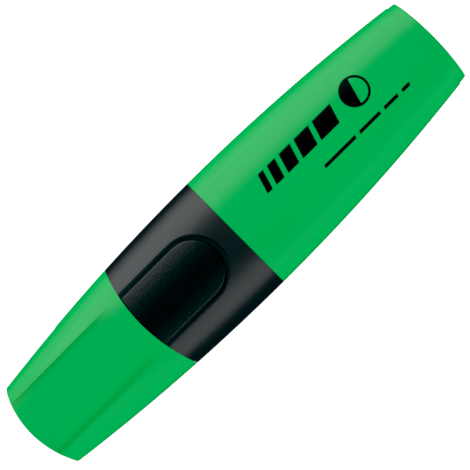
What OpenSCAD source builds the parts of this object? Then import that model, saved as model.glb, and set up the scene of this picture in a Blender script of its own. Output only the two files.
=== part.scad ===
// Capped flat highlighter: an oval barrel with an end plug, a grip section
// with a soft inlay on each broad face, a chisel nib fed by a fibre
// reservoir, and a pull-off cap with a sealing liner.
// X runs along the marker with the cap at -X, Z is up, and the marker lies
// on a broad face with its underside at z = 0. Millimetres.

/* [Overall size] */
// Length from the closed end of the cap to the end plug
length = 118; // [114:1:122]
// Width across the broad face at the widest place
width = 28.8; // [28:0.2:30]
// Thickness between the two broad faces
thickness = 17; // [16.8:0.1:17.6]

/* [Outer form] */
// Distance of the widest place from the middle of the length
widest_x = 1; // [-1:0.5:2]
// Radius of the long sides seen from above
plan_r = 455; // [430:5:600]
// Radius of the broad faces seen from the side
side_r = 770; // [740:10:900]
// Squareness of the cross-section, where 2 is an ellipse
squareness = 2.5; // [2.4:0.1:2.8]
// How far the broad faces are cut down to a flat to rest on
flat_cut = 0.1; // [0.05:0.05:0.15]

/* [Joints between the shells] */
// Place of the joint between the grip section and the barrel
barrel_x = 0.8; // [0:0.2:2]
// Length of the end plug's visible band
plug_band = 2.7; // [2.2:0.1:3]
// Step down from the barrel to the end plug
plug_step = 0.17; // [0.1:0.01:0.25]
// Distance from the cap's closed end to its mouth, on the centre line
cap_length = 32.4; // [31:0.2:33]
// Gap between the cap's mouth and the shoulder of the grip section
mouth_gap = 0.12; // [0.1:0.02:0.2]

/* [End curves seen from above] */
// Radius of the cap's closed end
cap_end_r = 21.5; // [20:0.5:24]
// Radius of the cap's mouth and of the shoulder that meets it
mouth_r = 37.5; // [34:0.5:42]
// Radius of the end plug's outer face
plug_end_r = 68; // [60:1:80]
// Width of the bevel round the two end faces
end_bevel = 0.4; // [0.3:0.1:0.6]

/* [Walls and fits] */
// Wall of the barrel
barrel_wall = 1.5; // [1.4:0.1:1.6]
// Wall of the cap
cap_wall = 1.3; // [1.2:0.1:1.4]
// Wall of the grip section's spigot and of the end plug's skirt
grip_wall = 1.3; // [1.2:0.1:1.4]
// Gap between two moulded parts that are pressed together
press_gap = 0.05; // [0.03:0.01:0.06]
// Gap between the cap and the neck that it slides over
slide_gap = 0.15; // [0.12:0.01:0.2]

/* [Cap facets] */
// Distance of the two creases from the centre line
crease_y = 6.9; // [6.5:0.1:7.3]
// How far the side facets are flattened at the closed end
facet_depth = 0.45; // [0.3:0.05:0.6]

/* [Soft inlays] */
// Half the width of the pocket in the grip section
pocket_half_w = 7.75; // [7.5:0.05:8]
// Width of the open groove between the pocket and the inlay
groove_w = 1.05; // [0.9:0.05:1.2]
// Place of the pocket's round end
pocket_tip_x = -3.4; // [-4:0.2:-3]
// Height of the pocket's floor above the middle plane
pocket_floor = 6.9; // [6.8:0.1:7]
// How far the inlay lies below the skin of the grip section
inlay_drop = 0.15; // [0.1:0.05:0.2]

/* [Nib and holder] */
// Radius of the nib
nib_r = 2.4; // [2.3:0.05:2.5]
// Radius of the nib holder's nose, which the cap liner seals on
nose_r = 4.15; // [4.05:0.05:4.2]
// How far the nib stands out of its holder
nib_out = 6.5; // [6:0.5:7]

/* [Reservoir] */
// Width of the fibre core
core_w = 18; // [17.6:0.2:18]
// Thickness of the fibre core
core_t = 9.2; // [9:0.1:9.2]
// Thickness of the plastic film round the core
film_wall = 0.2; // [0.1:0.05:0.2]

/* [Hidden] */

green = [0, 0.68, 0.33];
black = [0.08, 0.09, 0.1];
soft_black = [0.05, 0.06, 0.06];
ink = [0.42, 0.92, 0.35];
clear = [0.85, 0.9, 0.88];
natural = [0.92, 0.93, 0.9];

around = 64;            // points round a section, a multiple of 4
ring_pitch = 4.5;       // greatest distance between two sections
smooth = 96;            // $fn of the round parts

// Edges seen from above, each as [x on the centre line, radius]. The sides
// of an edge lie further to +X than its middle for a positive radius, and
// an edge with a radius of 0 is straight.
cap_end = [-length / 2, cap_end_r];
cap_mouth = [cap_end[0] + cap_length, mouth_r];
shoulder = [cap_mouth[0] + mouth_gap, mouth_r];
barrel_front = [barrel_x, 0];
plug_front = [length / 2 - plug_band, 0];
plug_end = [length / 2, -plug_end_r];

// How far inside the outer form each surface lies
spigot_inset = barrel_wall + press_gap;
hollow_inset = spigot_inset + grip_wall;
neck_inset = cap_wall + slide_gap;

spigot_x = barrel_x + 6.2;      // rear end of the grip section's spigot
bead_x = barrel_x + 3.5;        // middle of the snap bead on the spigot
bead_h = 0.2;                   // height of the snap bead
bead_half_w = 0.3;              // half the width of its foot
bead_room = 0.2;                // the groove is this much wider each way
barrel_rib_y = 4;
barrel_rib_w = 1;
rib_root = 0.75;                // how deep in the outer form a rib's root lies

neck_x = cap_mouth[0] - 7.4;    // front face of the neck
neck_bevel = 0.6;
bulkhead_t = 1.5;               // wall across the neck that holds the nib holder
hollow_x = neck_x + bulkhead_t; // front end of the grip section's hollow

skirt_x = plug_front[0] - 6.4;  // front end of the end plug's skirt
plug_floor_x = plug_front[0] - 0.8;
plug_rib_t = 1.2;
plug_rib_w = 12;
plug_rib_h = 7;

nose_x = neck_x - 12.5;         // front end of the nib holder
nose_cone = 3.5;                // length of the cone at its front
nose_tip_r = 3.3;
flange_t = 1.2;
flange_w = 14;
flange_h = 9.4;
nib_fit = 0.02;                 // gap round the nib in its holder
flute_w = 0.5;
flute_depth = 0.35;

nib_tip_x = nose_x - nib_out;
nib_slant = 30;                 // angle of the writing edge seen from above
nib_bevel = 24;                 // angle of each face seen from the side
nib_edge = 0.45;                // half the thickness of the writing edge

core_front_x = neck_x + 7;
core_back_x = plug_front[0] - 10.3;
nib_back_x = core_front_x + 5;
film_w = core_w + 2 * film_wall;
film_t = core_t + 2 * film_wall;

cap_end_wall = 1.6;
cap_floor = [cap_end[0] + cap_end_wall, cap_end_r - cap_end_wall];
liner_base_w = 13;
liner_base_h = 9.6;
liner_wall = 0.8;
liner_r = nose_r + 0.05;        // bore of the liner, a running fit on the nose
liner_outer_r = liner_r + liner_wall;
liner_end_x = cap_floor[0] + crown(liner_base_w / 2, cap_floor[1]);
liner_mouth_x = neck_x - 3;
cap_rib_y = 2.8;
cap_rib_w = 0.8;
cap_rib_z = sqrt(pow(liner_outer_r, 2) - pow(cap_rib_y - cap_rib_w / 2, 2)) + press_gap;

function crown(d, r) = r - sqrt(r * r - d * d);
function power(v, e) = sign(v) * pow(abs(v), e);
function clamp(v, limit) = max(-limit, min(limit, v));
function mix(a, b, u) = a * (1 - u) + b * u;

function half_w(x) = width / 2 - crown(x - widest_x, plan_r);
function half_t(x) = thickness / 2 + flat_cut - crown(x - widest_x, side_r);
function edge_x(edge, y) =
    edge[1] == 0 ? edge[0] : edge[0] + sign(edge[1]) * crown(y, abs(edge[1]));

// A point at place x and angle t, moved in from the outer form by inset
function skin(x, t, inset) = [
    x,
    (half_w(x) - inset) * power(cos(t), 2 / squareness),
    clamp((half_t(x) - inset) * power(sin(t), 2 / squareness), thickness / 2 - inset)
];

// A section between edges a and b, where u is the share of the way to b
function section(a, b, u, inset) = [
    for (k = [0 : around - 1])
        let (
            t = 360 * k / around,
            y = (half_w(mix(a[0], b[0], u)) - inset) * power(cos(t), 2 / squareness)
        )
        skin(mix(edge_x(a, y), edge_x(b, y), u), t, inset)
];
function section_at(x, inset) = section([x, 0], [x, 0], 0, inset);

// Sections from edge a to edge b
function stretch(a, b, inset) =
    let (steps = max(1, ceil(abs(b[0] - a[0]) / ring_pitch)))
    [for (i = [0 : steps]) section(a, b, i / steps, inset)];

// The cap's side facets lie below the outer form between crease and edge,
// and fade out towards the mouth
function facet_fall(p) =
    let (
        q = (abs(p[1]) - crease_y) / (half_w(p[0]) - crease_y),
        share = max(0, (cap_mouth[0] - p[0]) / cap_length)
    )
    q <= 0 || q >= 1 ? 0 : facet_depth * 4 * q * (1 - q) * share;
function faceted(ring) = [
    for (p = ring) [p[0], p[1], p[2] - sign(p[2]) * facet_fall(p)]
];

// Joins sections into a closed solid. With loop = true the last section
// joins the first, and otherwise each end is closed by upright strips.
module loft(rings, loop = false) {
    n = around;
    m = len(rings);
    last = (m - 1) * n;
    points = [for (r = rings) for (p = r) p];
    sides = [
        for (i = [0 : m - (loop ? 1 : 2)], k = [0 : n - 1])
            let (
                a = i * n + k,
                b = i * n + (k + 1) % n,
                c = ((i + 1) % m) * n + (k + 1) % n,
                d = ((i + 1) % m) * n + k
            )
            each [[a, c, b], [a, d, c]]
    ];
    ends = loop ? [] : [
        for (k = [0 : n / 2 - 1])
            let (k2 = (n - k) % n, k3 = n - k - 1)
            each [
                [k, k + 1, k3],
                [k, k3, k2],
                [last + k3, last + k + 1, last + k],
                [last + k2, last + k3, last + k]
            ]
    ];
    // A strip that comes to a point has one triangle and not two
    faces = [
        for (f = concat(sides, ends))
            if (f[0] != f[1] && f[1] != f[2] && f[2] != f[0]) f
    ];
    polyhedron(points, faces, convexity = 10);
}

// Turns a shape drawn along Z so that it runs along +X from x
module along_x(x) {
    translate([x, 0, 0]) rotate([0, 90, 0]) children();
}

// Flat oval, w across Y and t across Z, for use inside along_x
module oval(w, t) {
    square([t, w - t], center = true);
    for (s = [-1, 1]) translate([0, s * (w - t) / 2]) circle(d = t, $fn = smooth);
}

// Rib from x0 to x1 with its root in a wall and its free edge at height low
module rib(x0, x1, y, low, rib_w) {
    steps = 8;
    share = pow(1 - pow(abs(y) / half_w(x1), squareness), 1 / squareness);
    root = [
        for (i = [0 : steps])
            let (x = mix(x1, x0, i / steps))
            [x, (half_t(x) - rib_root) * share]
    ];
    translate([0, y + rib_w / 2, 0]) rotate([90, 0, 0])
        linear_extrude(rib_w) polygon(concat([[x0, low], [x1, low]], root));
}

// Repeats a shape on the other broad face
module both_faces() {
    children();
    mirror([0, 0, 1]) children();
}

// The parts are drawn about the middle plane and stood on their underside
module stand() {
    translate([0, 0, thickness / 2]) children();
}

module barrel() {
    groove_inset = spigot_inset - bead_h - 2 * press_gap;
    groove_front_x = bead_x - bead_half_w - bead_room;
    groove_back_x = bead_x + bead_half_w + bead_room;
    color(green) stand() {
        loft(concat(
            stretch(barrel_front, plug_front, 0),
            stretch(plug_front, [groove_back_x, 0], barrel_wall),
            [section_at(groove_back_x, groove_inset), section_at(groove_front_x, groove_inset)],
            [section_at(groove_front_x, barrel_wall), section_at(barrel_x, barrel_wall)]
        ), loop = true);
        both_faces() for (y = [-barrel_rib_y, barrel_rib_y])
            rib(spigot_x + 1, core_back_x, y, film_t / 2, barrel_rib_w);
    }
}

module end_plug() {
    cup_inset = spigot_inset + grip_wall;
    bevel_edge = [plug_end[0] - end_bevel, plug_end[1]];
    color(green) stand() {
        loft(concat(
            [section_at(plug_floor_x, cup_inset), section_at(skirt_x, cup_inset)],
            [section_at(skirt_x, spigot_inset), section_at(plug_front[0], spigot_inset)],
            stretch(plug_front, bevel_edge, plug_step),
            [section(plug_end, plug_end, 0, plug_step + end_bevel)]
        ));
        // The crossed ribs press on the rear end of the reservoir
        along_x(core_back_x) linear_extrude(plug_floor_x - core_back_x + 0.5) {
            square([plug_rib_h, plug_rib_t], center = true);
            square([plug_rib_t, plug_rib_w], center = true);
        }
    }
}

// Outline of an inlay seen from above, open at its front end
module stadium(half, tip_x) {
    translate([tip_x - half, 0]) circle(r = half, $fn = smooth);
    translate([hollow_x, -half]) square([tip_x - half - hollow_x, 2 * half]);
}

module grip_section() {
    color(black) stand() difference() {
        loft(concat(
            [section_at(neck_x, neck_inset + neck_bevel)],
            stretch([neck_x + neck_bevel, 0], shoulder, neck_inset),
            stretch(shoulder, barrel_front, 0),
            [section_at(barrel_x, spigot_inset), section_at(bead_x - bead_half_w, spigot_inset)],
            [section_at(bead_x, spigot_inset - bead_h)],
            [section_at(bead_x + bead_half_w, spigot_inset), section_at(spigot_x, spigot_inset)],
            stretch([spigot_x, 0], [hollow_x, 0], hollow_inset)
        ));
        along_x(neck_x - 1) cylinder(r = nose_r + press_gap, h = bulkhead_t + 2, $fn = smooth);
        both_faces() translate([0, 0, pocket_floor])
            linear_extrude(thickness) stadium(pocket_half_w, pocket_tip_x);
    }
}

// Soft inlay: the outer form inside the pocket, less the groove round it
module thumb_pad() {
    intersection() {
        loft(stretch(shoulder, barrel_front, inlay_drop));
        translate([0, 0, pocket_floor]) linear_extrude(thickness)
            stadium(pocket_half_w - groove_w, pocket_tip_x - groove_w);
    }
}

module thumb_pad_top() {
    color(soft_black) stand() thumb_pad();
}

module thumb_pad_bottom() {
    color(soft_black) stand() mirror([0, 0, 1]) thumb_pad();
}

// Nose and seat flange, with flutes that let air past the nib
module nib_holder() {
    cone_end_x = nose_x + nose_cone;
    color(black) stand() difference() {
        union() {
            along_x(hollow_x) linear_extrude(flange_t) oval(flange_w, flange_h);
            along_x(cone_end_x) cylinder(r = nose_r, h = hollow_x - cone_end_x + 0.1, $fn = smooth);
            along_x(nose_x) cylinder(r1 = nose_tip_r, r2 = nose_r, h = nose_cone, $fn = smooth);
        }
        along_x(nose_x - 1) cylinder(r = nib_r + nib_fit, h = 20, $fn = smooth);
        for (a = [45 : 90 : 315]) rotate([a, 0, 0])
            translate([nose_x - 1, -flute_w / 2, 0]) cube([20, flute_w, nib_r + flute_depth]);
    }
}

// Fibre nib with a slanted chisel edge
module nib() {
    big = 12;
    color(ink) stand() difference() {
        along_x(nib_tip_x) cylinder(r = nib_r, h = nib_back_x - nib_tip_x, $fn = smooth);
        both_faces() translate([nib_tip_x, 0, nib_edge]) rotate([0, -nib_bevel, 0])
            translate([-big, -big, 0]) cube(2 * big);
        translate([nib_tip_x, -nib_r, 0]) rotate([0, 0, -nib_slant])
            translate([-2 * big, -big, -big]) cube(2 * big);
    }
}

module reservoir_core() {
    color(ink) stand() difference() {
        along_x(core_front_x) linear_extrude(core_back_x - core_front_x) oval(core_w, core_t);
        along_x(core_front_x - 1) cylinder(r = nib_r, h = nib_back_x - core_front_x + 1, $fn = smooth);
    }
}

module reservoir_film() {
    color(clear) stand() along_x(core_front_x)
        linear_extrude(core_back_x - core_front_x) difference() {
            oval(film_w, film_t);
            oval(core_w, core_t);
        }
}

module cap_shell() {
    bevel_edge = [cap_end[0] + end_bevel, cap_end_r];
    outside = concat(
        [section(cap_end, cap_end, 0, end_bevel)],
        stretch(bevel_edge, cap_mouth, 0)
    );
    color(green) stand() {
        loft(concat(
            [for (r = outside) faceted(r)],
            stretch(cap_mouth, cap_floor, cap_wall)
        ));
        // Four ribs centre the liner between the broad faces
        both_faces() for (y = [-cap_rib_y, cap_rib_y])
            rib(liner_end_x + 1.2, liner_mouth_x - 2, y, cap_rib_z, cap_rib_w);
    }
}

// Inner cap that seals on the nose, with a base that bears on the cap's floor
module cap_liner() {
    color(natural) stand() difference() {
        union() {
            along_x(liner_end_x)
                cylinder(r = liner_outer_r, h = liner_mouth_x - liner_end_x, $fn = smooth);
            along_x(liner_end_x) linear_extrude(liner_wall) oval(liner_base_w, liner_base_h);
        }
        along_x(liner_end_x + liner_wall)
            cylinder(r = liner_r, h = liner_mouth_x - liner_end_x, $fn = smooth);
    }
}

barrel();
end_plug();
grip_section();
thumb_pad_top();
thumb_pad_bottom();
nib_holder();
nib();
reservoir_core();
reservoir_film();
cap_shell();
cap_liner();
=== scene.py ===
"""A capped flat highlighter: moulded shells, soft grip inlays, fibre nib and pad print.

Every new piece is a surface worked out with numpy, in millimetres about the
marker's middle plane, and goes into its mesh in metres. X runs along the
marker with the cap at -X, and Z is up out of the upper broad face.
"""
import math

import bmesh
import bpy
import numpy as np
from mathutils import Matrix, Vector


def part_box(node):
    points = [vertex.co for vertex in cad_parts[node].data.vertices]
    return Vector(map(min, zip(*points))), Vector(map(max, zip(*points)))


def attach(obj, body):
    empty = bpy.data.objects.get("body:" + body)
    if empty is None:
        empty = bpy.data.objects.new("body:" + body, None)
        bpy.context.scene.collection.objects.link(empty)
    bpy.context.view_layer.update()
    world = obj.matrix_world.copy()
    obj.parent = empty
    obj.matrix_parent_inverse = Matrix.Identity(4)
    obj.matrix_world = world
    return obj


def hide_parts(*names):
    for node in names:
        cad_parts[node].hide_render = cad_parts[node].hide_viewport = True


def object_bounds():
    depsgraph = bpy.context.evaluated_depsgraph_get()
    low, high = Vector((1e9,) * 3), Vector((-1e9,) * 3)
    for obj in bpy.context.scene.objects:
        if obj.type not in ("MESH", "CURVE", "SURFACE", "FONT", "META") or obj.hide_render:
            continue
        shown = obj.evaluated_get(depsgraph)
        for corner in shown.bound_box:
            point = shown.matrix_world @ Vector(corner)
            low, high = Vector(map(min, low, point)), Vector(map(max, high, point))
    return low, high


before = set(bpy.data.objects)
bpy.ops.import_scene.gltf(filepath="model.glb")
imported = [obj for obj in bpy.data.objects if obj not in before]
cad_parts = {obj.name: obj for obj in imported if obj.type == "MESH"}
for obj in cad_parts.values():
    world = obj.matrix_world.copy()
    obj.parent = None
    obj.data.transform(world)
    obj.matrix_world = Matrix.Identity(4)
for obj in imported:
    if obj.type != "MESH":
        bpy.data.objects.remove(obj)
cad_low, cad_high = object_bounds()

MM = 0.001
LENGTH, WIDTH, THICK = (np.array(cad_high) - np.array(cad_low)) / MM


def span(node):
    """Lowest and highest corner of a CAD node in millimetres, with Z from the middle plane."""
    return [np.array(corner) / MM - [0, 0, THICK / 2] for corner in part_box(node)]


# ------------------------------------------------------------ driving sizes, mm

WIDEST_X = 1.0          # where the outer form is widest and thickest
PLAN_R = 455.0          # radius of the long sides seen from above
SIDE_R = 770.0          # radius of the broad faces seen from the side
SQUARE = 2.5            # exponent of the cross-section, 2 is an ellipse

END_R = 21.5            # the cap's closed end, seen from above
MOUTH_R = 37.5          # the cap's mouth and the shoulder that meets it
TAIL_R = 68.0           # the end plug's outer face
CAP_LENGTH = 32.4       # closed end to mouth on the centre line

BARREL_WALL = 1.5
CAP_WALL = 1.3
GRIP_WALL = 1.3
PRESS_GAP = 0.05
RIB_ROOT = 0.75         # depth of a rib's root in the outer form
BARREL_RIB_Y = 4        # the reservoir's ribs, from the centre line
LINER_RIB_Y = 2.8       # the liner's ribs inside the cap
NECK_INSET = CAP_WALL + 0.15
SPIGOT_INSET = BARREL_WALL + PRESS_GAP
HOLLOW_INSET = SPIGOT_INSET + GRIP_WALL
PLUG_STEP = 0.17        # the plug's narrow sides stand in by this
PLUG_SKIRT = 6.4        # how far the plug reaches into the barrel
PLUG_FLOOR = 0.8        # where the plug's hollow ends, in front of its band
FLOOR_WALL = 1.6        # across the cap's closed end

CREASE_Y = 7.4          # the cap's two creases, from the centre line
PANEL_LIFT = 0.5        # how much the middle panel is flattened at the closed end
CREASE_RISE = 0.05      # step up from the middle panel to the side facet
CREASE_W = 0.9          # width of that step
FACET_DEPTH = 0.45      # how far the side facets are flattened at the closed end
SIDE_STEP = 0.13        # one narrow side of the cap steps in towards the closed end
SIDE_STEP_X = -39.7

POCKET_HALF = 7.75      # half the width of the pocket that an inlay lies in
GROOVE = 1.05           # open groove round the inlay
POCKET_TIP_X = -3.4
POCKET_FLOOR = 6.9      # above the middle plane
PAD_RISE = 0.09         # the inlay's centre line above the grip's
PAD_CROWN = 0.0165      # 1/mm, the inlay is domed more than the grip round it

NIB_R = 2.4
NIB_EDGE = 0.45         # half the thickness of the writing edge
NIB_SLANT = math.radians(30)    # of the writing edge, seen from above
NIB_BEVEL = math.radians(24)    # of each face, seen from the side
NIB_GAP = 0.02          # round the nib in its holder
FLUTE_DEPTH = 0.35      # of the air flutes beside the nib
NOSE_R = 4.15
NOSE_TIP_R = 3.3
NOSE_CONE = 3.5
FLANGE_T, FLANGE_W, FLANGE_H = 1.2, 14, 9.4
LINER_R = NOSE_R + PRESS_GAP
LINER_WALL = 0.8
LINER_BASE_W, LINER_BASE_H = 13, 9.6

BARREL_X, PLUG_X = span("barrel")[0][0], span("barrel")[1][0]
NECK_X, SPIGOT_X = span("grip_section")[0][0], span("grip_section")[1][0]
HOLLOW_X = NECK_X + 1.5
NOSE_X = span("nib_holder")[0][0]
NIB_TIP_X, NIB_BACK_X = span("nib")[0][0], span("nib")[1][0]
CORE_BACK_X = span("reservoir_core")[1][0]
LINER_END_X, LINER_MOUTH_X = span("cap_liner")[0][0], span("cap_liner")[1][0]

# Edges seen from above, as (x on the centre line, radius). The sides of an edge
# lie further to +X than its middle for a positive radius, and 0 is straight.
CAP_END = (-LENGTH / 2, END_R)
CAP_MOUTH = (CAP_END[0] + CAP_LENGTH, MOUTH_R)
CAP_FLOOR = (CAP_END[0] + FLOOR_WALL, END_R - FLOOR_WALL)
SHOULDER = CAP_MOUTH    # the closed cap seats against it
TAIL_END = (LENGTH / 2, -TAIL_R)
POCKET_X = POCKET_TIP_X - POCKET_HALF


# ------------------------------------------------------------ outer form

def power(v, e):
    """v to the power e, with v's sign kept."""
    return np.sign(v) * np.abs(v) ** e


def crown(d, r):
    """Sagitta: how far an arc of radius r has fallen at distance d from its middle."""
    return r - np.sqrt(r * r - d * d)


def mix(a, b, u):
    """a where u is 0, b where u is 1, and the straight line between."""
    return a * (1 - u) + b * u


def smooth(v):
    """Eases from 0 to 1 with level ends: 3v^2 - 2v^3, with v held between 0 and 1."""
    v = np.clip(v, 0, 1)
    return v * v * (3 - 2 * v)


def inner(count):
    """Evenly spaced shares between 0 and 1, without the two ends."""
    return np.linspace(0, 1, count + 2)[1:-1]


def half_w(x):
    return WIDTH / 2 - crown(x - WIDEST_X, PLAN_R)


def half_t(x):
    return THICK / 2 - crown(x - WIDEST_X, SIDE_R)


def edge_x(edge, y):
    """x of an edge at distance y from the centre line."""
    x, r = edge
    return x + 0 * y if r == 0 else x + np.sign(r) * crown(y, abs(r))


def skin(x, t, inset=0):
    """Superellipse |y/w|^n + |z/h|^n = 1 at x and angle t, with w and h moved in by inset."""
    y = (half_w(x) - inset) * power(np.cos(t), 2 / SQUARE)
    z = (half_t(x) - inset) * power(np.sin(t), 2 / SQUARE)
    return np.stack(np.broadcast_arrays(x, y, z), -1)


def top(x, y, inset=0):
    """Height of the upper broad face over the plan point x, y."""
    share = np.clip(np.abs(y) / (half_w(x) - inset), 0, 1)
    return (half_t(x) - inset) * (1 - share ** SQUARE) ** (1 / SQUARE)


def turn_at(x, y, inset=0):
    """Angle at which the section at x stands at distance y, in the first quarter."""
    share = np.clip(np.abs(y) / (half_w(x) - inset), 0, 1)
    return np.arccos(share ** (SQUARE / 2))


# Angle against the share of the way along a quarter of the widest section,
# from the side (0) to the centre line (1), by adding up the arc length
FINE_TURN = np.linspace(0, math.pi / 2, 4001)
FINE_STEP = np.linalg.norm(np.diff(skin(0 * FINE_TURN + WIDEST_X, FINE_TURN), axis=0), axis=1)
FINE_SHARE = np.concatenate([[0], np.cumsum(FINE_STEP)]) / FINE_STEP.sum()


def turn_of(share):
    return np.interp(share, FINE_SHARE, FINE_TURN)


def share_of(turn):
    return np.interp(turn, FINE_TURN, FINE_SHARE)


def all_round(quarter):
    """Angles of the first quarter, 0 to 90 degrees on the last axis, carried right round."""
    back = math.pi - quarter[..., ::-1]
    half = np.concatenate([quarter, back[..., 1:]], -1)
    return np.concatenate([half, math.pi + half[..., 1:-1]], -1)


def points_all_round(quarter):
    """The same for a row of points in the first quarter."""
    half = np.concatenate([quarter, (quarter[::-1] * [1, -1, 1])[1:]])
    return np.concatenate([half, (half * [1, -1, -1])[1:-1]])


TURN = all_round(turn_of(np.linspace(0, 1, 65)))


def rows_between(a, b, shares, turn, inset=0):
    """Rows of points from edge a to edge b. A point's x is the mix of the two edges' x
    at the point's own distance from the centre line."""
    u = np.asarray(shares, float)[:, None]
    y = (half_w(mix(a[0], b[0], u)) - inset) * power(np.cos(turn), 2 / SQUARE)
    return skin(mix(edge_x(a, y), edge_x(b, y), u), turn, inset)


def shift(edge, dx):
    return (edge[0] + dx, edge[1])


def lip(edge, r, turn, side, inset=0, rows=5):
    """Quarter-round rim on an end that faces side (+1 or -1 along X): from the outside
    in, x goes out to r sin(a) while the section goes in by r - r cos(a)."""
    out = []
    for a in np.linspace(0, math.pi / 2, rows):
        e = shift(edge, -side * r * (1 - math.sin(a)))
        out.append(rows_between(e, e, [0], turn, inset + r * (1 - math.cos(a))))
    return np.concatenate(out)


def inner_lip(edge, r, turn, side, inset, rows=5):
    """The rim's other quarter-round, from the end face back to the inner wall at inset."""
    out = []
    for a in np.linspace(0, math.pi / 2, rows):
        e = shift(edge, -side * r * (1 - math.cos(a)))
        out.append(rows_between(e, e, [0], turn, inset - r * (1 - math.sin(a))))
    return np.concatenate(out)


def end_face(edge, turn, inset, rows=7):
    """Face that follows an edge: x and y stay, and the height grows from 0 on the
    middle plane to the whole section's."""
    rim = rows_between(edge, edge, [0], turn, inset)
    tall = np.append(np.linspace(0, 0.96, rows), 1)[:, None, None]
    return rim * np.concatenate([np.ones((rows + 1, 1, 2)), tall], -1)


# ------------------------------------------------------------ meshes

def grid_faces(rows, cols, wrap_rows, wrap_cols):
    """Quads of a grid of points, numbered row by row."""
    i = np.arange(rows if wrap_rows else rows - 1)[:, None]
    j = np.arange(cols if wrap_cols else cols - 1)[None, :]
    i2, j2 = (i + 1) % rows, (j + 1) % cols
    return np.stack([i * cols + j, i2 * cols + j, i2 * cols + j2, i * cols + j2], -1).reshape(-1, 4)


class Sheets:
    """Gathers grids of points, and their quads, for one mesh."""

    def __init__(self):
        self.points, self.quads, self.count = [], [], 0

    def add(self, grid, wrap_rows=False, wrap_cols=True):
        rows, cols = grid.shape[:2]
        self.quads.append(grid_faces(rows, cols, wrap_rows, wrap_cols) + self.count)
        self.points.append(grid.reshape(-1, 3))
        self.count += rows * cols

    def add_mirrored(self, grid, signs):
        """Adds an open grid once for each (y sign, z sign)."""
        for y, z in signs:
            self.add(grid * [1, y, z], wrap_cols=False)


def places(mesh):
    """The mesh's points, one to a row, in metres."""
    co = np.empty(len(mesh.vertices) * 3, np.float32)
    mesh.vertices.foreach_get("co", co)
    return co.reshape(-1, 3)


def even_shading(mesh):
    """Vertex normals as the sum of the faces' normals times their areas, so that a
    narrow rim doesn't tilt the shading of the wide face beside it."""
    co = places(mesh).astype(float)
    mesh.calc_loop_triangles()
    tris = np.empty(len(mesh.loop_triangles) * 3, np.int32)
    mesh.loop_triangles.foreach_get("vertices", tris)
    tris = tris.reshape(-1, 3)
    area = np.cross(co[tris[:, 1]] - co[tris[:, 0]], co[tris[:, 2]] - co[tris[:, 0]])
    total = np.zeros_like(co)
    for corner in range(3):
        np.add.at(total, tris[:, corner], area)
    total /= np.maximum(np.linalg.norm(total, axis=1, keepdims=True), 1e-30)
    mesh.normals_split_custom_set_from_vertices(total.astype(np.float32))


def make(name, sheets, material, body, nodes=()):
    """Puts the sheets into one mesh, welds the edges that they share, turns the faces
    outwards, and hands the piece to the frame."""
    points = (np.concatenate(sheets.points) + [0, 0, THICK / 2]) * MM
    quads = np.concatenate(sheets.quads)
    mesh = bpy.data.meshes.new(name)
    mesh.vertices.add(len(points))
    mesh.vertices.foreach_set("co", points.ravel())
    mesh.loops.add(quads.size)
    mesh.loops.foreach_set("vertex_index", quads.ravel())
    mesh.polygons.add(len(quads))
    mesh.polygons.foreach_set("loop_start", np.arange(0, quads.size, 4))
    mesh.update(calc_edges=True)
    work = bmesh.new()
    work.from_mesh(mesh)
    weld = 0.0005 * MM
    bmesh.ops.remove_doubles(work, verts=work.verts, dist=weld)
    bmesh.ops.dissolve_degenerate(work, edges=work.edges, dist=weld)
    bmesh.ops.recalc_face_normals(work, faces=work.faces)
    work.to_mesh(mesh)
    work.free()
    mesh.polygons.foreach_set("use_smooth", np.ones(len(mesh.polygons), bool))
    even_shading(mesh)
    mesh.materials.append(material)
    piece = bpy.data.objects.new(name, mesh)
    bpy.context.scene.collection.objects.link(piece)
    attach(piece, body)
    if nodes:
        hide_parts(*nodes)
    return piece


def bar(x_ends, y_ends, low, high):
    """Closed bar along X with softly rounded edges: a superellipse of exponent squarer
    between y_ends and between the heights low(x) and high(x), its ends drawn in to a
    point."""
    squarer = 7
    a = np.linspace(0, 2 * math.pi, 32, endpoint=False)
    x = np.linspace(*x_ends, 12)[:, None]
    y = np.mean(y_ends) + np.ptp(y_ends) / 2 * power(np.cos(a), 2 / squarer)
    middle, tall = (high(x) + low(x)) / 2, (high(x) - low(x)) / 2
    z = middle + tall * power(np.sin(a), 2 / squarer)
    rows = np.stack(np.broadcast_arrays(x, y, z), -1)
    ends = rows.mean(axis=1, keepdims=True) + 0 * rows
    return np.concatenate([ends[:1], rows, ends[-1:]])


def wall_rib(x_ends, y, free_edge, width, face):
    """Rib that stands on the inside of a broad wall, face +1 for the upper one. Its
    root follows the outer form at the depth RIB_ROOT."""
    near, far = (lambda x: 0 * x + free_edge), (lambda x: top(x, y) - RIB_ROOT)
    rib = bar(x_ends, (y - width / 2, y + width / 2), near, far)
    return rib * [1, 1, face]


# ------------------------------------------------------------ materials

def hexed(code):
    """sRGB hex colour to linear RGBA."""
    srgb = np.array([int(code[i:i + 2], 16) for i in (1, 3, 5)]) / 255
    linear = np.where(srgb <= 0.04045, srgb / 12.92, ((srgb + 0.055) / 1.055) ** 2.4)
    return (*linear.tolist(), 1.0)


def node(tree, kind, inputs=(), **settings):
    """Adds a shader node. inputs maps a socket's name or number to a value or to the
    socket that feeds it."""
    made = tree.nodes.new(kind)
    for key, value in settings.items():
        setattr(made, key, value)
    for key, value in dict(inputs).items():
        if isinstance(value, bpy.types.NodeSocket):
            tree.links.new(value, made.inputs[key])
        else:
            made.inputs[key].default_value = value
    return made


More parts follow.
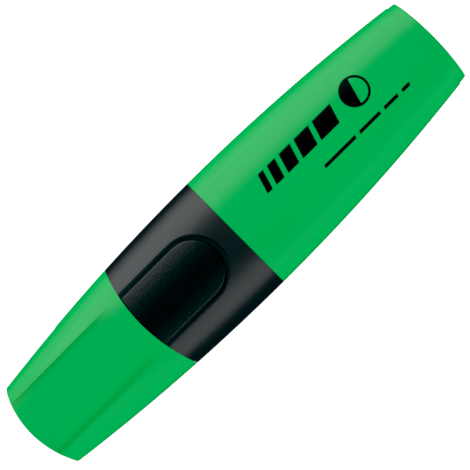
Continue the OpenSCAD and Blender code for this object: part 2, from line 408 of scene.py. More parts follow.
def begin(name):
    """An empty material, its node tree, and the place in millimetres of each point."""
    material = bpy.data.materials.new(name)
    material.use_nodes = True
    tree = material.node_tree
    tree.nodes.clear()
    place = node(tree, "ShaderNodeTexCoord").outputs["Object"]
    to_mm = (1 / MM, 1 / MM, 1 / MM)
    scaled = node(tree, "ShaderNodeVectorMath", {0: place, 1: to_mm}, operation="MULTIPLY")
    return material, tree, scaled.outputs[0]


def finish_with(tree, shader):
    node(tree, "ShaderNodeOutputMaterial", {"Surface": shader.outputs[0]})


def ramp(tree, factor, low, high):
    """Carries factor from 0..1 to low..high."""
    made = node(tree, "ShaderNodeMapRange", {"Value": factor, "To Min": low, "To Max": high})
    return made.outputs["Result"]


def tint(tree, factor, a, b):
    """Colour between the hex colours a and b."""
    ends = {"Factor": factor, 6: hexed(a), 7: hexed(b)}
    return node(tree, "ShaderNodeMix", ends, data_type="RGBA").outputs[2]


def moulded(tree, place, grain_mm, depth_mm, flow_mm):
    """What an injection mould leaves: a fine spark-eroded grain as a bump, and broad
    cloudy differences from the melt's flow, drawn out along the marker. Real grain is
    about 0.1 mm, drawn coarser here so that it shows. Returns the flow's share and the
    bump's normal."""
    grain = node(tree, "ShaderNodeTexNoise", {"Vector": place, "Scale": 1 / grain_mm, "Detail": 3})
    depth = {"Height": grain.outputs[0], "Distance": depth_mm * MM, "Strength": 1}
    bump = node(tree, "ShaderNodeBump", depth)
    drawn = node(tree, "ShaderNodeVectorMath", {0: place, 1: (0.4, 1, 1)}, operation="MULTIPLY")
    cloud = {"Vector": drawn.outputs[0], "Scale": 1 / flow_mm, "Detail": 2}
    flow = node(tree, "ShaderNodeTexNoise", cloud)
    return flow.outputs[0], bump.outputs[0]


def green_polypropylene(name, painted_shade_attribute=None):
    """Fluorescent green polypropylene, injection moulded in a satin mould: an even, saturated green
    with a broad soft sheen and hardly any texture. Where the piece's attribute is set, along the
    cap's creases, the colour is painted darker as painted shade."""
    material, tree, place = begin(name)
    flow, normal = moulded(tree, place, 0.5, 0.003, 14)
    colour = tint(tree, flow, "#00A74C", "#00AB4F")
    if painted_shade_attribute:
        # Painted shade: the green is darkened towards #009E3C where the attribute marks the creases.
        shade_mask = node(tree, "ShaderNodeAttribute", attribute_name=painted_shade_attribute)
        blend = {"Factor": shade_mask.outputs["Fac"], 6: colour, 7: hexed("#009E3C")}
        shaded_colour = node(tree, "ShaderNodeMix", blend, data_type="RGBA")
        colour = shaded_colour.outputs[2]
    shader = node(tree, "ShaderNodeBsdfPrincipled", {
        "Base Color": colour,
        "Roughness": ramp(tree, flow, 0.25, 0.28),
        "IOR": 1.49,
        "Specular IOR Level": 0.4,
        "Normal": normal,
    })
    finish_with(tree, shader)
    return material


def black_polypropylene():
    """Black polypropylene, injection moulded in a satin mould: deep black, with wide
    grey reflections where a side turns to the light."""
    material, tree, place = begin("black_polypropylene_moulded")
    flow, normal = moulded(tree, place, 0.45, 0.03, 11)
    shader = node(tree, "ShaderNodeBsdfPrincipled", {
        "Base Color": tint(tree, flow, "#160E10", "#191113"),
        "Roughness": ramp(tree, flow, 0.31, 0.36),
        "IOR": 1.5,
        "Specular IOR Level": 0.66,
        "Normal": normal,
    })
    finish_with(tree, shader)
    return material


def soft_inlay_rubber():
    """Black thermoplastic elastomer, moulded: softer and a little duller than the
    polypropylene round it, with a fine even grain."""
    material, tree, place = begin("black_elastomer_moulded")
    flow, normal = moulded(tree, place, 0.45, 0.03, 7)
    shader = node(tree, "ShaderNodeBsdfPrincipled", {
        "Base Color": tint(tree, flow, "#0B0303", "#0E0506"),
        "Roughness": ramp(tree, flow, 0.27, 0.31),
        "IOR": 1.5,
        "Specular IOR Level": 0.46,
        "Normal": normal,
    })
    finish_with(tree, shader)
    return material


def natural_polyethylene():
    """Unpigmented polyethylene, injection moulded: milky white, light passes a little
    way into it, and the surface is waxy."""
    material, tree, place = begin("natural_polyethylene_moulded")
    flow, normal = moulded(tree, place, 0.3, 0.002, 5)
    shader = node(tree, "ShaderNodeBsdfPrincipled", {
        "Base Color": tint(tree, flow, "#E4E8DF", "#EDF0EA"),
        "Roughness": ramp(tree, flow, 0.4, 0.5),
        "IOR": 1.51,
        "Subsurface Weight": 0.35,
        "Subsurface Radius": (1.0, 1.0, 0.9),
        "Subsurface Scale": 0.0008,
        "Normal": normal,
    })
    finish_with(tree, shader)
    return material


def inked_fibre(name, pale, deep, fibre_mm):
    """Bonded polyester fibre soaked with fluorescent ink: matt, with fine strands along
    the marker that are paler where they stand out. Real strands are 0.02 mm, drawn
    coarser here so that they show."""
    material, tree, place = begin(name)
    drawn = node(tree, "ShaderNodeVectorMath", {0: place, 1: (0.08, 1, 1)}, operation="MULTIPLY")
    fine = {"Vector": drawn.outputs[0], "Scale": 1 / fibre_mm, "Detail": 4}
    strands = node(tree, "ShaderNodeTexNoise", fine)
    patches = node(tree, "ShaderNodeTexNoise", {"Vector": place, "Scale": 0.6, "Detail": 2})
    terms = {0: strands.outputs[0], 1: patches.outputs[0]}
    both = node(tree, "ShaderNodeMath", terms, operation="ADD")
    middle = {"Value": both.outputs[0], "From Min": 0.7, "From Max": 1.3}
    share = node(tree, "ShaderNodeMapRange", middle)
    raised = {"Height": strands.outputs[0], "Distance": 0.05 * MM, "Strength": 1}
    bump = node(tree, "ShaderNodeBump", raised)
    shader = node(tree, "ShaderNodeBsdfPrincipled", {
        "Base Color": tint(tree, share.outputs[0], deep, pale),
        "Roughness": 0.85,
        "Sheen Weight": 0.3,
        "Normal": bump.outputs[0],
    })
    finish_with(tree, shader)
    return material


def clear_film():
    """Clear polypropylene film, extruded: thin, glossy and nearly colourless, with fine
    draw lines along it."""
    material, tree, place = begin("clear_polypropylene_film")
    drawn = node(tree, "ShaderNodeVectorMath", {0: place, 1: (0.05, 1, 1)}, operation="MULTIPLY")
    lines = node(tree, "ShaderNodeTexNoise", {"Vector": drawn.outputs[0], "Scale": 2.5, "Detail": 2})
    shader = node(tree, "ShaderNodeBsdfPrincipled", {
        "Base Color": tint(tree, lines.outputs[0], "#DDE8E2", "#F2F7F4"),
        "Roughness": ramp(tree, lines.outputs[0], 0.08, 0.2),
        "IOR": 1.49,
        "Transmission Weight": 0.85,
    })
    finish_with(tree, shader)
    return material


def print_ink():
    """Black two-part pad-printing ink: opaque, a little glossier than the plastic, with
    slightly uneven coverage."""
    material, tree, place = begin("black_pad_print_ink")
    cover = node(tree, "ShaderNodeTexNoise", {"Vector": place, "Scale": 3, "Detail": 3})
    shader = node(tree, "ShaderNodeBsdfPrincipled", {
        "Base Color": tint(tree, cover.outputs[0], "#000000", "#040604"),
        "Roughness": ramp(tree, cover.outputs[0], 0.3, 0.4),
        "IOR": 1.45,
        "Specular IOR Level": 0.15,
    })
    finish_with(tree, shader)
    return material


GREEN = green_polypropylene("green_polypropylene_moulded")
# The cap's green carries painted shade, darker along its two creases.
CAP_GREEN = green_polypropylene("green_polypropylene_crease_shaded", "crease_painted_shade")
BLACK = black_polypropylene()
RUBBER = soft_inlay_rubber()
NATURAL = natural_polyethylene()
NIB_FIBRE = inked_fibre("inked_polyester_nib", "#5FE35A", "#1FB84A", 0.12)
CORE_FIBRE = inked_fibre("inked_acetate_core", "#7BE86E", "#2EC04E", 0.25)
FILM = clear_film()
INK = print_ink()


# ------------------------------------------------------------ green shells

def barrel():
    """Outer wall from the grip's joint to the plug, a rounded rim, the inner wall back
    and the other rim, as one ring-shaped sheet. Ribs for the reservoir stand inside."""
    r, seam = 0.08, 0.015
    front, back = (BARREL_X, 0), (PLUG_X, 0)
    sheets = Sheets()
    sheets.add(np.concatenate([
        lip(front, r, TURN, -1)[::-1],
        rows_between(shift(front, r), shift(back, -seam), inner(60), TURN),
        lip(back, seam, TURN, 1),
        inner_lip(back, r, TURN, 1, BARREL_WALL),
        rows_between(shift(back, -r), shift(front, r), inner(20), TURN, BARREL_WALL),
        inner_lip(front, r, TURN, -1, BARREL_WALL)[::-1],
    ]), wrap_rows=True)
    film_z = span("reservoir_film")[1][2]
    ends = (SPIGOT_X + 1, CORE_BACK_X)
    for y in (-BARREL_RIB_Y, BARREL_RIB_Y):
        for face in (-1, 1):
            sheets.add(wall_rib(ends, y, film_z, 1, face))
    make("barrel_shell", sheets, GREEN, "marker", ["barrel"])


def end_plug():
    """Curved outer face, rounded rim, the narrow band and the skirt inside the barrel,
    hollow behind the face. Both ends of the sheet close on the middle plane. The band
    stands in from the barrel by PLUG_STEP cos^2 of the angle: by all of it at the narrow
    sides and by nothing on the broad faces. Two crossed bars reach to the reservoir."""
    rim, edge, lead = 0.3, 0.015, 0.3
    step = PLUG_STEP * np.cos(TURN) ** 2
    band, skirt, floor = (PLUG_X + 0.005, 0), (PLUG_X - PLUG_SKIRT, 0), (PLUG_X - PLUG_FLOOR, 0)
    sheets = Sheets()
    sheets.add(np.concatenate([
        end_face(TAIL_END, TURN, step + rim),
        lip(TAIL_END, rim, TURN, 1, step, rows=9)[-2::-1],
        rows_between(shift(TAIL_END, -rim), shift(band, edge), inner(8), TURN, step),
        lip(band, edge, TURN, -1, step),
        rows_between(band, shift(skirt, lead), np.linspace(0, 1, 10)[:-1], TURN, SPIGOT_INSET),
        lip(skirt, lead, TURN, -1, SPIGOT_INSET),
        rows_between(skirt, floor, np.linspace(0, 1, 8), TURN, HOLLOW_INSET),
        end_face(floor, TURN, HOLLOW_INSET)[-2::-1],
    ]))
    ends = (CORE_BACK_X, floor[0] + 0.4)
    thin = 0.6
    for wide, tall in ((thin, 3.5), (6, thin)):
        sheets.add(bar(ends, (-wide, wide), lambda x: 0 * x - tall, lambda x: 0 * x + tall))
    make("end_plug_shell", sheets, GREEN, "marker", ["end_plug"])


def cap_turn(x, inset=0, flank=44, panel=36):
    """Angles round the cap's section at x, with a column of points along each crease:
    flank columns from the side to the crease and panel columns on to the centre line,
    both drawn together next to the crease by a share of 0.45 v + 0.55 v^2."""
    def drawn(far):
        return 0.45 * far + 0.55 * far * far

    x = np.asarray(x, float)
    crease = share_of(turn_at(x, CREASE_Y, inset))[..., None]
    side = crease * (1 - drawn(np.linspace(1, 0, flank + 1)))
    middle = crease + (1 - crease) * drawn(np.linspace(0, 1, panel + 1)[1:])
    return all_round(turn_of(np.concatenate([side, middle], -1)))


def crease_ease(x):
    """How strong the creases are at x: they ease out short of the cap's two ends."""
    return smooth((x - CAP_END[0]) / 1.5) * smooth((CAP_MOUTH[0] - 0.5 - x) / 7)


def pressed(points):
    """The cap's relief. Beyond a crease the broad face falls by 4 q (1 - q) of the
    facet's depth, q running from the crease to the side, and this fades out towards the
    mouth. The middle panel is flattened by raising it with a power of the distance from
    the centre line, and this goes back to nothing down the facet and at the mouth. Each
    crease is a soft step up that falls away by (1 - q) squared and eases out short of
    both ends. The narrow side at +Y stands in a little from SIDE_STEP_X on."""
    x, y, z = points[..., 0], np.abs(points[..., 1]), points[..., 2]
    share = np.clip((CAP_MOUTH[0] - x) / CAP_LENGTH, 0, 1)
    q = np.clip((y - CREASE_Y) / (half_w(x) - CREASE_Y), 0, 1)
    flatter = np.minimum(y / CREASE_Y, 1) ** 3.5 * (1 - q) * smooth(share / 0.35)
    fall = FACET_DEPTH * 4 * q * (1 - q) * share - PANEL_LIFT * flatter
    step = smooth((y - CREASE_Y) / CREASE_W + 0.5) * (1 - q) ** 2
    fall = fall - CREASE_RISE * step * crease_ease(x)
    level = np.clip(np.abs(z) / (half_t(x) * 0.6), 0, 1)
    inward = SIDE_STEP * smooth((SIDE_STEP_X - x) / 0.5)
    inward = inward * smooth((points[..., 1] / half_w(x) - 0.88) / 0.1)
    return points - np.stack([0 * x, inward, np.sign(z) * fall * level], -1)


def cap_body():
    """Closed end, outside with its facets and creases, rounded mouth, and the inside
    down to the floor, as one sheet that closes on the middle plane at both ends. The
    ribs that hold the liner stand inside, and their free edge meets its round wall."""
    rim, mouth = 0.25, 0.025
    start, stop = shift(CAP_END, rim), shift(CAP_MOUTH, -mouth)
    shares, deep = inner(90), np.linspace(0, 1, 26)[1:]
    end_t, mouth_t = cap_turn(start[0]), cap_turn(stop[0])
    floor_t = cap_turn(CAP_FLOOR[0], CAP_WALL)
    outside = np.concatenate([
        end_face(CAP_END, end_t, rim),
        lip(CAP_END, rim, end_t, -1, rows=9)[-2::-1],
        rows_between(start, stop, shares, cap_turn(mix(start[0], stop[0], shares))),
        lip(CAP_MOUTH, mouth, mouth_t, 1),
    ])
    inside_t = cap_turn(mix(stop[0], CAP_FLOOR[0], deep), CAP_WALL)
    inside = np.concatenate([
        inner_lip(CAP_MOUTH, mouth, mouth_t, 1, CAP_WALL),
        rows_between(stop, CAP_FLOOR, deep, inside_t, CAP_WALL),
        end_face(CAP_FLOOR, floor_t, CAP_WALL)[-2::-1],
    ])
    sheets = Sheets()
    sheets.add(np.concatenate([pressed(outside), inside]))
    rib_w, ends = 0.8, (LINER_END_X + 1.2, LINER_MOUTH_X - 2)
    near_y = LINER_RIB_Y - rib_w / 2
    free_edge = math.sqrt((LINER_R + LINER_WALL) ** 2 - near_y ** 2) + PRESS_GAP
    for y in (-LINER_RIB_Y, LINER_RIB_Y):
        for face in (-1, 1):
            sheets.add(wall_rib(ends, y, free_edge, rib_w, face))
    cap = make("cap_body", sheets, CAP_GREEN, "cap", ["cap_shell"])
    # Paints shade along the cap's creases.
    paint_crease_shade(cap.data)


def paint_crease_shade(mesh):
    """Writes each point's share of the painted shade along the creases: a bell over the distance
    from a line just inside the crease, faded out by the same ease as the crease's relief."""
    x, y = places(mesh)[:, :2].T / MM
    line, spread = CREASE_Y - CREASE_W / 2, CREASE_W * 0.85
    share = np.exp(-(((np.abs(y) - line) / spread) ** 2)) * crease_ease(x)
    # Painted shade along the creases, which the cap's material reads as a darker green.
    attribute = mesh.attributes.new("crease_painted_shade", "FLOAT", "POINT")
    attribute.data.foreach_set("value", share.astype(np.float32))


# ------------------------------------------------------------ grip section

QUARTER = 40            # intervals round a quarter of the grip section
CORNER_TURN = math.atan2(half_w(BARREL_X), BARREL_X - POCKET_X)
FLOOR_FILLET = 0.2
FLOOR_HALVES = np.append(POCKET_HALF - FLOOR_FILLET, np.linspace(POCKET_HALF - 0.5, 0, 6))
WALL_ROWS = 8           # over the pocket's rim and down to its floor
OUTER_ROWS = QUARTER + 1 - WALL_ROWS - len(FLOOR_HALVES)


def outline(half, along, arc):
    """Plan points of a pocket outline that is half wide: straight columns from the
    shoulder to the pocket's centre, by their share along, and then the round end, by
    angle arc from the centre."""
    start = edge_x(SHOULDER, np.full_like(along, half))
    straight = np.stack([mix(start, POCKET_X, along), np.full_like(along, half)], -1)
    turned = np.stack([POCKET_X + half * np.cos(arc), half * np.sin(arc)], -1)
    return np.concatenate([straight, turned])


def grip_quarter(rim=0.12, lip_r=0.025):
    """A quarter of the grip section's outside. The rows run from the side and the
    barrel's joint to the pocket's rim, over the rim, down its wall, and across its floor
    to the centre line. The columns run from the rounded shoulder round the pocket."""
    lip_a = np.linspace(math.pi / 2, 0, 5)
    behind = lip_r * (1 - np.sin(lip_a))
    along = np.linspace(0, 1, 25)[1:]
    corner = np.linspace(math.pi / 2, CORNER_TURN, 15)[1:]
    front = np.linspace(CORNER_TURN, 0, QUARTER + 1)[1:]
    arc = np.concatenate([corner, front])
    joint_x = BARREL_X - lip_r

    # Columns of the outside, from the outer boundary (0) to the pocket's rim (1)
    rim_half = POCKET_HALF + rim
    start = edge_x(SHOULDER, rim_half)
    room = POCKET_X - start
    near = np.concatenate([behind / room, mix(lip_r / room, 1, along)])
    plan = outline(rim_half, near, arc)
    side_x = mix(edge_x(SHOULDER, half_w(SHOULDER[0])), POCKET_X, near)
    behind_x = np.linspace(POCKET_X, joint_x, len(corner) + 1)[1:]
    far_x = np.concatenate([side_x, behind_x, np.full(QUARTER, joint_x)])
    side_share = np.zeros(len(near) + len(corner))
    far_share = np.concatenate([side_share, np.linspace(0, 1, QUARTER + 1)[1:]])
    near_share = share_of(turn_at(plan[:, 0], plan[:, 1]))
    u = np.linspace(0, 1, OUTER_ROWS)[:, None]
    turn = turn_of(mix(far_share, near_share, u))
    x = mix(far_x, plan[:, 0], u)
    y = half_w(x) * power(np.cos(turn), 2 / SQUARE)
    n, first = len(near), len(lip_a)
    on_edge = edge_x(SHOULDER, y[:, :n])
    x[:, :first] = on_edge[:, :first] + behind
    x[:, first:n] = mix(on_edge[:, first:] + lip_r, POCKET_X, along)
    inset = np.concatenate([lip_r * (1 - np.cos(lip_a)), np.zeros(len(plan) - first)])
    rows = [skin(x, turn, inset)]

    # Over the rim, down the wall, and across the floor
    def plan_row(half):
        room = POCKET_X - edge_x(SHOULDER, half)
        share = np.concatenate([behind / room, mix(lip_r / room, 1, along)])
        return outline(half, share, arc)

    def level_row(half, height):
        p = plan_row(half)
        return np.column_stack([p, np.full(len(p), height)])[None]

    for a in np.linspace(0, math.pi / 2, 6)[1:]:
        p = plan_row(POCKET_HALF + rim * (1 - math.sin(a)))
        z = top(p[:, 0], p[:, 1], inset) - rim * (1 - math.cos(a))
        rows.append(np.column_stack([p, z])[None])
    for a in np.linspace(0, math.pi / 2, 4)[:-1]:
        half = POCKET_HALF - FLOOR_FILLET * (1 - math.cos(a))
        rows.append(level_row(half, POCKET_FLOOR + FLOOR_FILLET * (1 - math.sin(a))))
    rows += [level_row(half, POCKET_FLOOR) for half in FLOOR_HALVES]
    return np.concatenate(rows)


def to_circle(row, r, shares):
    """Rows from an outline towards the circle of radius r about the X axis, each point
    moving straight along its own direction."""
    flat = row * [0, 1, 1]
    ring = flat / np.linalg.norm(flat, axis=1, keepdims=True) * r + row * [1, 0, 0]
    return np.stack([mix(row, ring, u) for u in shares])


def grip_section():
    """The outside as four mirrored quarters, and one ring-shaped sheet for the rest: the
    joint's face, the spigot, the hollow, the bulkhead's hole, its front, the neck and
    the shoulder's face, which ends on the quarters' front edge."""
    quarter = grip_quarter()
    sheets = Sheets()
    sheets.add_mirrored(quarter, [(1, 1), (-1, 1), (1, -1), (-1, -1)])
    joint, spigot, hollow, neck = (BARREL_X, 0), (SPIGOT_X, 0), (HOLLOW_X, 0), (NECK_X, 0)
    rear_t = all_round(turn_of(np.linspace(0, 1, QUARTER + 1)))
    corner = share_of(turn_at(SHOULDER[0], POCKET_HALF, NECK_INSET))
    closer = 0.93       # share of the corner's angle from which the columns stand closer
    neck_t = all_round(np.concatenate([
        turn_of(corner * np.linspace(0, closer, OUTER_ROWS)),
        turn_of(corner * np.linspace(closer, 1, WALL_ROWS + 2)[1:-1]),
        turn_at(SHOULDER[0], FLOOR_HALVES, NECK_INSET),
    ]))
    lead, hole, tube = 0.3, 0.6, NOSE_R + PRESS_GAP
    back = np.linspace(0, 1, 24)[:, None]
    front_row = rows_between(neck, neck, [0], neck_t, NECK_INSET + hole)[0]
    hollow_row = rows_between(hollow, hollow, [0], neck_t, HOLLOW_INSET)[0]
    sheets.add(np.concatenate([
        lip(joint, 0.12, rear_t, 1),
        rows_between(joint, shift(spigot, -lead), np.linspace(0, 1, 8)[:-1], rear_t, SPIGOT_INSET),
        lip(spigot, lead, rear_t, 1, SPIGOT_INSET),
        rows_between(spigot, hollow, back[:, 0], mix(rear_t, neck_t, back), HOLLOW_INSET),
        to_circle(hollow_row, tube, np.linspace(0, 1, 6)[1:]),
        to_circle(front_row, tube, np.linspace(1, 0, 8)),
        lip(neck, hole, neck_t, -1, NECK_INSET, rows=7)[-2::-1],
        rows_between(shift(neck, hole), SHOULDER, np.linspace(0, 1, 16)[1:], neck_t, NECK_INSET),
        points_all_round(quarter[:, 0])[None],
    ]))
    return make("grip_shell", sheets, BLACK, "marker", ["grip_section"])


def thumb_pad(face, name, cad_node):
    """Soft inlay, face +1 for the upper one. The rows run from the centre line over the
    crowned top to a quarter-round rim, down the side, and back under it, and its front
    face stands on the shoulder's arc. The top is the grip's centre line plus PAD_RISE
    less PAD_CROWN times the distance from the inlay's own centre line squared."""
    half, rim, seat, crown_rows = POCKET_HALF - GROOVE, 0.3, POCKET_FLOOR + 0.01, 18
    along, arc = np.linspace(0, 1, 40), np.linspace(math.pi / 2, 0, 60)[1:]
    halves, drops = list(np.linspace(0, half - rim, crown_rows)), [0] * crown_rows
    for a in np.linspace(0, math.pi / 2, 8)[1:]:
        halves.append(half - rim * (1 - math.sin(a)))
        drops.append(rim * (1 - math.cos(a)))
    upper, lower = [], []
    for h, drop in zip(halves + [half], drops + [None]):
        p = outline(h, along, arc)
        floor = np.full(len(p), seat)
        crown_z = half_t(p[:, 0]) + PAD_RISE - PAD_CROWN * min(h, half - rim / 2) ** 2
        height = floor if drop is None else crown_z - drop
        upper.append(np.column_stack([p, height]))
        lower.append(np.column_stack([p, floor]))
    upper, lower = np.stack(upper), np.stack(lower)
    sheets = Sheets()
    signs = [(1, face), (-1, face)]
    sheets.add_mirrored(upper, signs)
    sheets.add_mirrored(lower, signs)
    sheets.add_mirrored(np.stack([upper[:, 0], lower[:, 0]]), signs)
    return make(name, sheets, RUBBER, "marker", [cad_node])


# ------------------------------------------------------------ nib, holder and liner

def rings(profile, columns=96):
    """Rows of circles about the X axis from (x, radius) pairs."""
    a = np.linspace(0, 2 * math.pi, columns, endpoint=False)
    x, r = np.array(profile, float).T[..., None]
    return np.stack(np.broadcast_arrays(x, r * np.cos(a), r * np.sin(a)), -1)


def oval_ring(x, wide, tall, columns=96):
    """Superellipse of exponent squarer across the marker at x."""
    squarer = 2.6
    a = np.linspace(0, 2 * math.pi, columns, endpoint=False)
    y, z = wide / 2 * power(np.cos(a), 2 / squarer), tall / 2 * power(np.sin(a), 2 / squarer)
    return np.stack(np.broadcast_arrays(x, y, z), -1)[None]


def nib_holder():
    """Nose with a rounded tip, cone and cylinder, and an oval flange behind it. The bore
    has four air flutes: its radius steps out over a narrow angle at each diagonal."""
    columns, flute_half, flute_side, rim = 240, 0.2, 0.09, 0.25
    a = np.linspace(0, 2 * math.pi, columns, endpoint=False)
    from_flute = np.abs((a - math.pi / 4) % (math.pi / 2))
    from_flute = np.minimum(from_flute, math.pi / 2 - from_flute) * NIB_R
    flute = FLUTE_DEPTH * (1 - smooth((from_flute - flute_half) / flute_side))
    bore = NIB_R + NIB_GAP + flute

    def bore_ring(x, grow=0.0):
        r = bore + grow
        return np.stack(np.broadcast_arrays(x, r * np.cos(a), r * np.sin(a)), -1)[None]

    back = HOLLOW_X + FLANGE_T
    cone = [(NOSE_X, NOSE_TIP_R - rim)] + [
        (NOSE_X + rim * (1 - math.cos(b)), NOSE_TIP_R - rim * (1 - math.sin(b)))
        for b in np.linspace(0.3, 1.3, 5)
    ]
    cone += [(NOSE_X + NOSE_CONE * u, mix(NOSE_TIP_R, NOSE_R, u)) for u in (0.2, 0.5, 0.8, 0.96)]
    straight = (NOSE_X + NOSE_CONE + 0.2, mix(NOSE_X, HOLLOW_X, 0.6), HOLLOW_X)
    cone += [(x, NOSE_R) for x in straight]
    sheets = Sheets()
    sheets.add(np.concatenate([
        bore_ring(back), bore_ring(mix(NOSE_X, back, 0.4)), bore_ring(NOSE_X + 0.12),
        bore_ring(NOSE_X + 0.03, 0.03), bore_ring(NOSE_X, 0.12),
        rings(cone, columns),
        oval_ring(HOLLOW_X, FLANGE_W, FLANGE_H, columns),
        oval_ring(back, FLANGE_W, FLANGE_H, columns),
    ]), wrap_rows=True)
    make("nib_holder_nose", sheets, BLACK, "marker", ["nib_holder"])


def nib():
    """Chisel nib. At each station the upper and lower halves are the lower of the round
    bar and the bevel plane, blended over a small radius, and the stations start on the
    slanted edge: x is the tip's plus (y + r) tan(slant). The edge's own face is rounded:
    it lies back by the cube of the share of its height."""
    soft, rounding = 0.12, 0.1
    a = np.linspace(0, 2 * math.pi, 128, endpoint=False)
    y = NIB_R * np.cos(a)
    edge = NIB_TIP_X + (y + NIB_R) * math.tan(NIB_SLANT)
    shares = np.concatenate([np.linspace(0, 0.35, 44), np.linspace(0.35, 1, 12)[1:]])[:, None]
    x = mix(edge, NIB_BACK_X, shares)
    round_z = NIB_R * np.abs(np.sin(a))
    plane_z = NIB_EDGE + (x - NIB_TIP_X) * math.tan(NIB_BEVEL)
    gap = round_z - plane_z
    z = (round_z + plane_z - np.sqrt(gap * gap + soft * soft)) / 2
    z = np.clip(z, 0, None) * np.sign(np.sin(a))
    rows = np.stack(np.broadcast_arrays(x, y, z), -1)

    def closing(row, tall):
        return row * np.stack([1 + 0 * tall, 1 + 0 * tall, tall], -1)[:, None]

    tall = np.linspace(0, 1, 5)
    face, tail = closing(rows[0], tall), closing(rows[-1], np.linspace(1, 0, 3))
    face[:, :, 0] += rounding * tall[:, None] ** 3
    rows[0] = face[-1]
    sheets = Sheets()
    sheets.add(np.concatenate([face[:-1], rows, tail[1:]]))
    make("chisel_nib", sheets, NIB_FIBRE, "marker", ["nib"])


def cap_liner():
    """Round cup with a rounded lip, on an oval base that bears on the cap's floor."""
    outer, wall = LINER_R + LINER_WALL, LINER_WALL
    base, rim, corner = LINER_END_X, wall / 2, 0.5
    lip_rows = [
        (LINER_MOUTH_X - rim + rim * math.sin(a), LINER_R + rim - rim * math.cos(a))
        for a in np.linspace(0, math.pi, 13)
    ]
    inside = [(base + wall, 0), (base + wall, LINER_R - corner)]
    inside += [
        (base + wall + corner * (1 - math.cos(a)), LINER_R - corner * (1 - math.sin(a)))
        for a in np.linspace(0.2, math.pi / 2, 6)
    ]
    inside += [(mix(base, LINER_MOUTH_X, u), LINER_R) for u in (0.3, 0.6, 0.9)]
    outside = [(mix(base, LINER_MOUTH_X, u), outer) for u in (0.9, 0.5, 0.15)]
    sheets = Sheets()
    sheets.add(np.concatenate([
        rings(inside), rings(lip_rows), rings(outside + [(base + wall, outer)]),
        oval_ring(base + wall, LINER_BASE_W, LINER_BASE_H),
        oval_ring(base, LINER_BASE_W, LINER_BASE_H), rings([(base, 0)]),
    ]))
    make("cap_liner_cup", sheets, NATURAL, "cap", ["cap_liner"])


# ------------------------------------------------------------ pad print

def ink(x, y, lift=0.012):
    """Thin slab of ink over a grid of plan points on the barrel's upper face: the face
    itself raised by lift, the same grid as far below it, and strips round the border."""
    up = np.stack([x, y, top(x, y) + lift], -1)
    down = up - [0, 0, 2 * lift]
    ends = [(up[0], down[0]), (up[-1], down[-1])]
    sides = [(up[:, 0], down[:, 0]), (up[:, -1], down[:, -1])]
    return [up, down] + [np.stack(pair) for pair in ends + sides]


def leaning_bar(x, length, y_ends, lean=0.3):
    """Parallelogram in plan, its ends leaning along X by lean times the height across."""
    u, v = np.meshgrid(np.linspace(0, 1, 40), np.linspace(0, 1, 12))
    y = mix(y_ends[0], y_ends[1], v)
    return ink(x + length * u + lean * (y - y_ends[0]), y)


def disc_part(centre, r_ends, turn_ends):
    """Part of a flat ring in plan, between two radii and two angles."""
    r, a = np.meshgrid(np.linspace(*r_ends, 12), np.radians(np.linspace(*turn_ends, 60)))
    return ink(centre[0] + r * np.cos(a), centre[1] + r * np.sin(a))


def print_marks():
    """Generic print: a bold row of leaning bars that grow longer, a half-filled disc
    after it, and a thin row of dashes below. A row is its first x, its lengths, the gap
    between them and its two y."""
    bars = (11.3, (1.5, 2.3, 3.2, 4.2, 5.3), 1.15, (0.6, 4.9))
    dashes = (23.6, (9.0, 6.0, 4.0, 2.2), 1.2, (-4.2, -3.45))
    centre, disc_r, ring_r, split = (39.2, 3.1), 3.4, 2.85, 75
    marks = [
        disc_part(centre, (0, disc_r), (split, split + 180)),
        disc_part(centre, (ring_r, disc_r), (split - 180, split)),
    ]
    for x, lengths, gap, y_ends in (bars, dashes):
        for length in lengths:
            marks.append(leaning_bar(x, length, y_ends))
            x += length + gap
    sheets = Sheets()
    for mark in marks:
        for grid in mark:
            sheets.add(grid, wrap_cols=False)
    make("barrel_print", sheets, INK, "marker")


# ------------------------------------------------------------ the stage

def area_light(name, aim, azimuth, elevation, distance, size, radiance, glossy=True, only=None):
    """Rectangular softbox that faces aim. Its power is radiance times pi times area.
    only is a collection of the pieces that it lights, as flags round it would do."""
    a, e = math.radians(azimuth), math.radians(elevation)
    out = Vector((math.cos(a) * math.cos(e), math.sin(a) * math.cos(e), math.sin(e)))
    data = bpy.data.lights.new(name, "AREA")
    data.shape = "RECTANGLE"
    data.size, data.size_y = size
    data.energy = radiance * math.pi * size[0] * size[1]
    light = bpy.data.objects.new(name, data)
    light.location = aim + out * distance
    light.rotation_mode = "QUATERNION"
    light.rotation_quaternion = out.to_track_quat("Z", "Y")
    light.visible_glossy = glossy
    light.visible_camera = False
    if only:
        light.light_linking.receiver_collection = only
    bpy.context.scene.collection.objects.link(light)
    return light


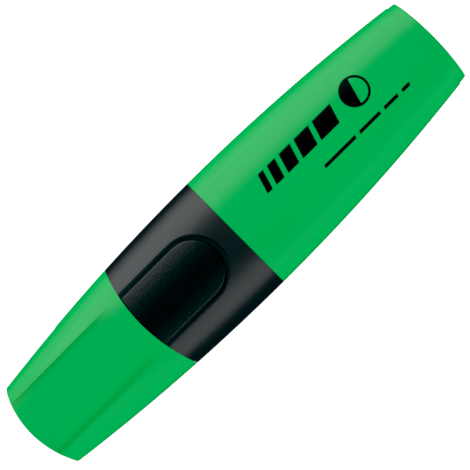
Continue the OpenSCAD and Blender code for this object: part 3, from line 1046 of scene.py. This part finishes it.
def studio(black_pieces):
    """A long softbox on the left with a reflector below it, a low matt fill on the right
    and a weak one above, and an edge light on the right that is flagged off everything
    but the black pieces. The pale room lights matt surfaces evenly but hardly shows in
    the gloss."""
    flagged = bpy.data.collections.new("black_pieces")
    for piece in black_pieces:
        flagged.objects.link(piece)
    aim = Vector((0, 0, THICK / 2 * MM))
    # Name, aim, azimuth and elevation in degrees, distance, size and radiance
    area_light("softbox_left", aim, 90, 39, 0.62, (0.8, 0.6), 2.1)
    area_light("reflector_left", aim, 90, 2, 0.62, (0.8, 0.28), 0.92)
    area_light("edge_light_right", aim, -90, 42, 0.62, (0.8, 0.52), 1.15, only=flagged)
    area_light("fill_right", aim, -90, 25, 0.62, (0.8, 0.5), 2.4, glossy=False)
    area_light("overhead", aim, 90, 80, 0.7, (0.6, 0.5), 0.75, glossy=False)

    world = bpy.data.worlds.new("pale_room")
    bpy.context.scene.world = world
    world.use_nodes = True
    tree = world.node_tree
    tree.nodes.clear()
    seen = node(tree, "ShaderNodeLightPath")
    white = node(tree, "ShaderNodeBackground", {"Color": (1, 1, 1, 1), "Strength": 1.0})
    soft = node(tree, "ShaderNodeBackground", {"Color": (1, 1, 1, 1), "Strength": 0.35})
    dim = node(tree, "ShaderNodeBackground", {"Color": (1, 1, 1, 1), "Strength": 0.02})
    glossy, direct = seen.outputs["Is Glossy Ray"], seen.outputs["Is Camera Ray"]
    matt = node(tree, "ShaderNodeMixShader", {0: glossy, 1: soft.outputs[0], 2: dim.outputs[0]})
    both = node(tree, "ShaderNodeMixShader", {0: direct, 1: matt.outputs[0], 2: white.outputs[0]})
    node(tree, "ShaderNodeOutputWorld", {"Surface": both.outputs[0]})


def floor():
    """Plain white table top, a flat grid, that glows a little, as a light table does, so
    that hardly a shadow stays on it."""
    material, tree, place = begin("white_acrylic_sheet")
    cloud = node(tree, "ShaderNodeTexNoise", {"Vector": place, "Scale": 0.02, "Detail": 2})
    shader = node(tree, "ShaderNodeBsdfPrincipled", {
        "Base Color": tint(tree, cloud.outputs[0], "#BEBEBE", "#C4C4C4"),
        "Roughness": 0.6,
        "Emission Color": (1, 1, 1, 1),
        "Emission Strength": 0.88,
    })
    finish_with(tree, shader)
    half, count = 4, 9
    side = np.linspace(-half, half, count)
    x, y = np.meshgrid(side, side)
    points = np.stack([x, y, 0 * x], -1).reshape(-1, 3)
    mesh = bpy.data.meshes.new("table_top")
    faces = grid_faces(count, count, False, False)[:, ::-1]
    mesh.from_pydata(points.tolist(), [], faces.tolist())
    mesh.materials.append(material)
    table = bpy.data.objects.new("table_top", mesh)
    table.visible_glossy = False
    table.visible_shadow = False
    bpy.context.scene.collection.objects.link(table)


def camera():
    """Long lens that looks down on the upper broad face, with the marker's axis turned
    in the view by axis_turn and the marker seen from a little to its side, by roll. The
    camera stands as far off as it takes for its view to be frame_w wide."""
    roll, axis_turn = math.radians(2.8), math.radians(44.8)
    frame_w, lens, sensor = 98.5 * MM, 500.0, 36.0
    aim = Vector((0.4, -0.28, THICK / 2)) * MM
    along = Vector((1, 0, 0))
    across = Vector((0, math.cos(roll), math.sin(roll)))
    right = along * math.cos(axis_turn) - across * math.sin(axis_turn)
    up = along * math.sin(axis_turn) + across * math.cos(axis_turn)
    back = right.cross(up)
    data = bpy.data.cameras.new("camera")
    data.lens, data.sensor_width = lens, sensor
    data.clip_start, data.clip_end = 0.01, 20
    made = bpy.data.objects.new("camera", data)
    turn = Matrix((right, up, back)).transposed()
    made.matrix_world = Matrix.Translation(aim + back * frame_w * lens / sensor) @ turn.to_4x4()
    bpy.context.scene.collection.objects.link(made)
    bpy.context.scene.camera = made


def grade():
    """Plain sRGB view with the black point raised a little, the reds' most, as in a
    saturated catalogue print, so that the green stays clean and the blacks deep."""
    view = bpy.context.scene.view_settings
    view.view_transform = "Standard"
    view.use_curve_mapping = True
    view.curve_mapping.black_level = (0.0155, 0.004, 0.004)
    view.curve_mapping.update()


barrel()
end_plug()
cap_body()
grip_shell = grip_section()
upper_inlay = thumb_pad(1, "thumb_pad_upper", "thumb_pad_top")
lower_inlay = thumb_pad(-1, "thumb_pad_lower", "thumb_pad_bottom")
nib_holder()
nib()
cap_liner()
print_marks()
for name, material in (("reservoir_core", CORE_FIBRE), ("reservoir_film", FILM)):
    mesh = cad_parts[name].data
    mesh.materials.clear()
    mesh.materials.append(material)

camera()
studio([grip_shell, upper_inlay, lower_inlay])
floor()
grade()
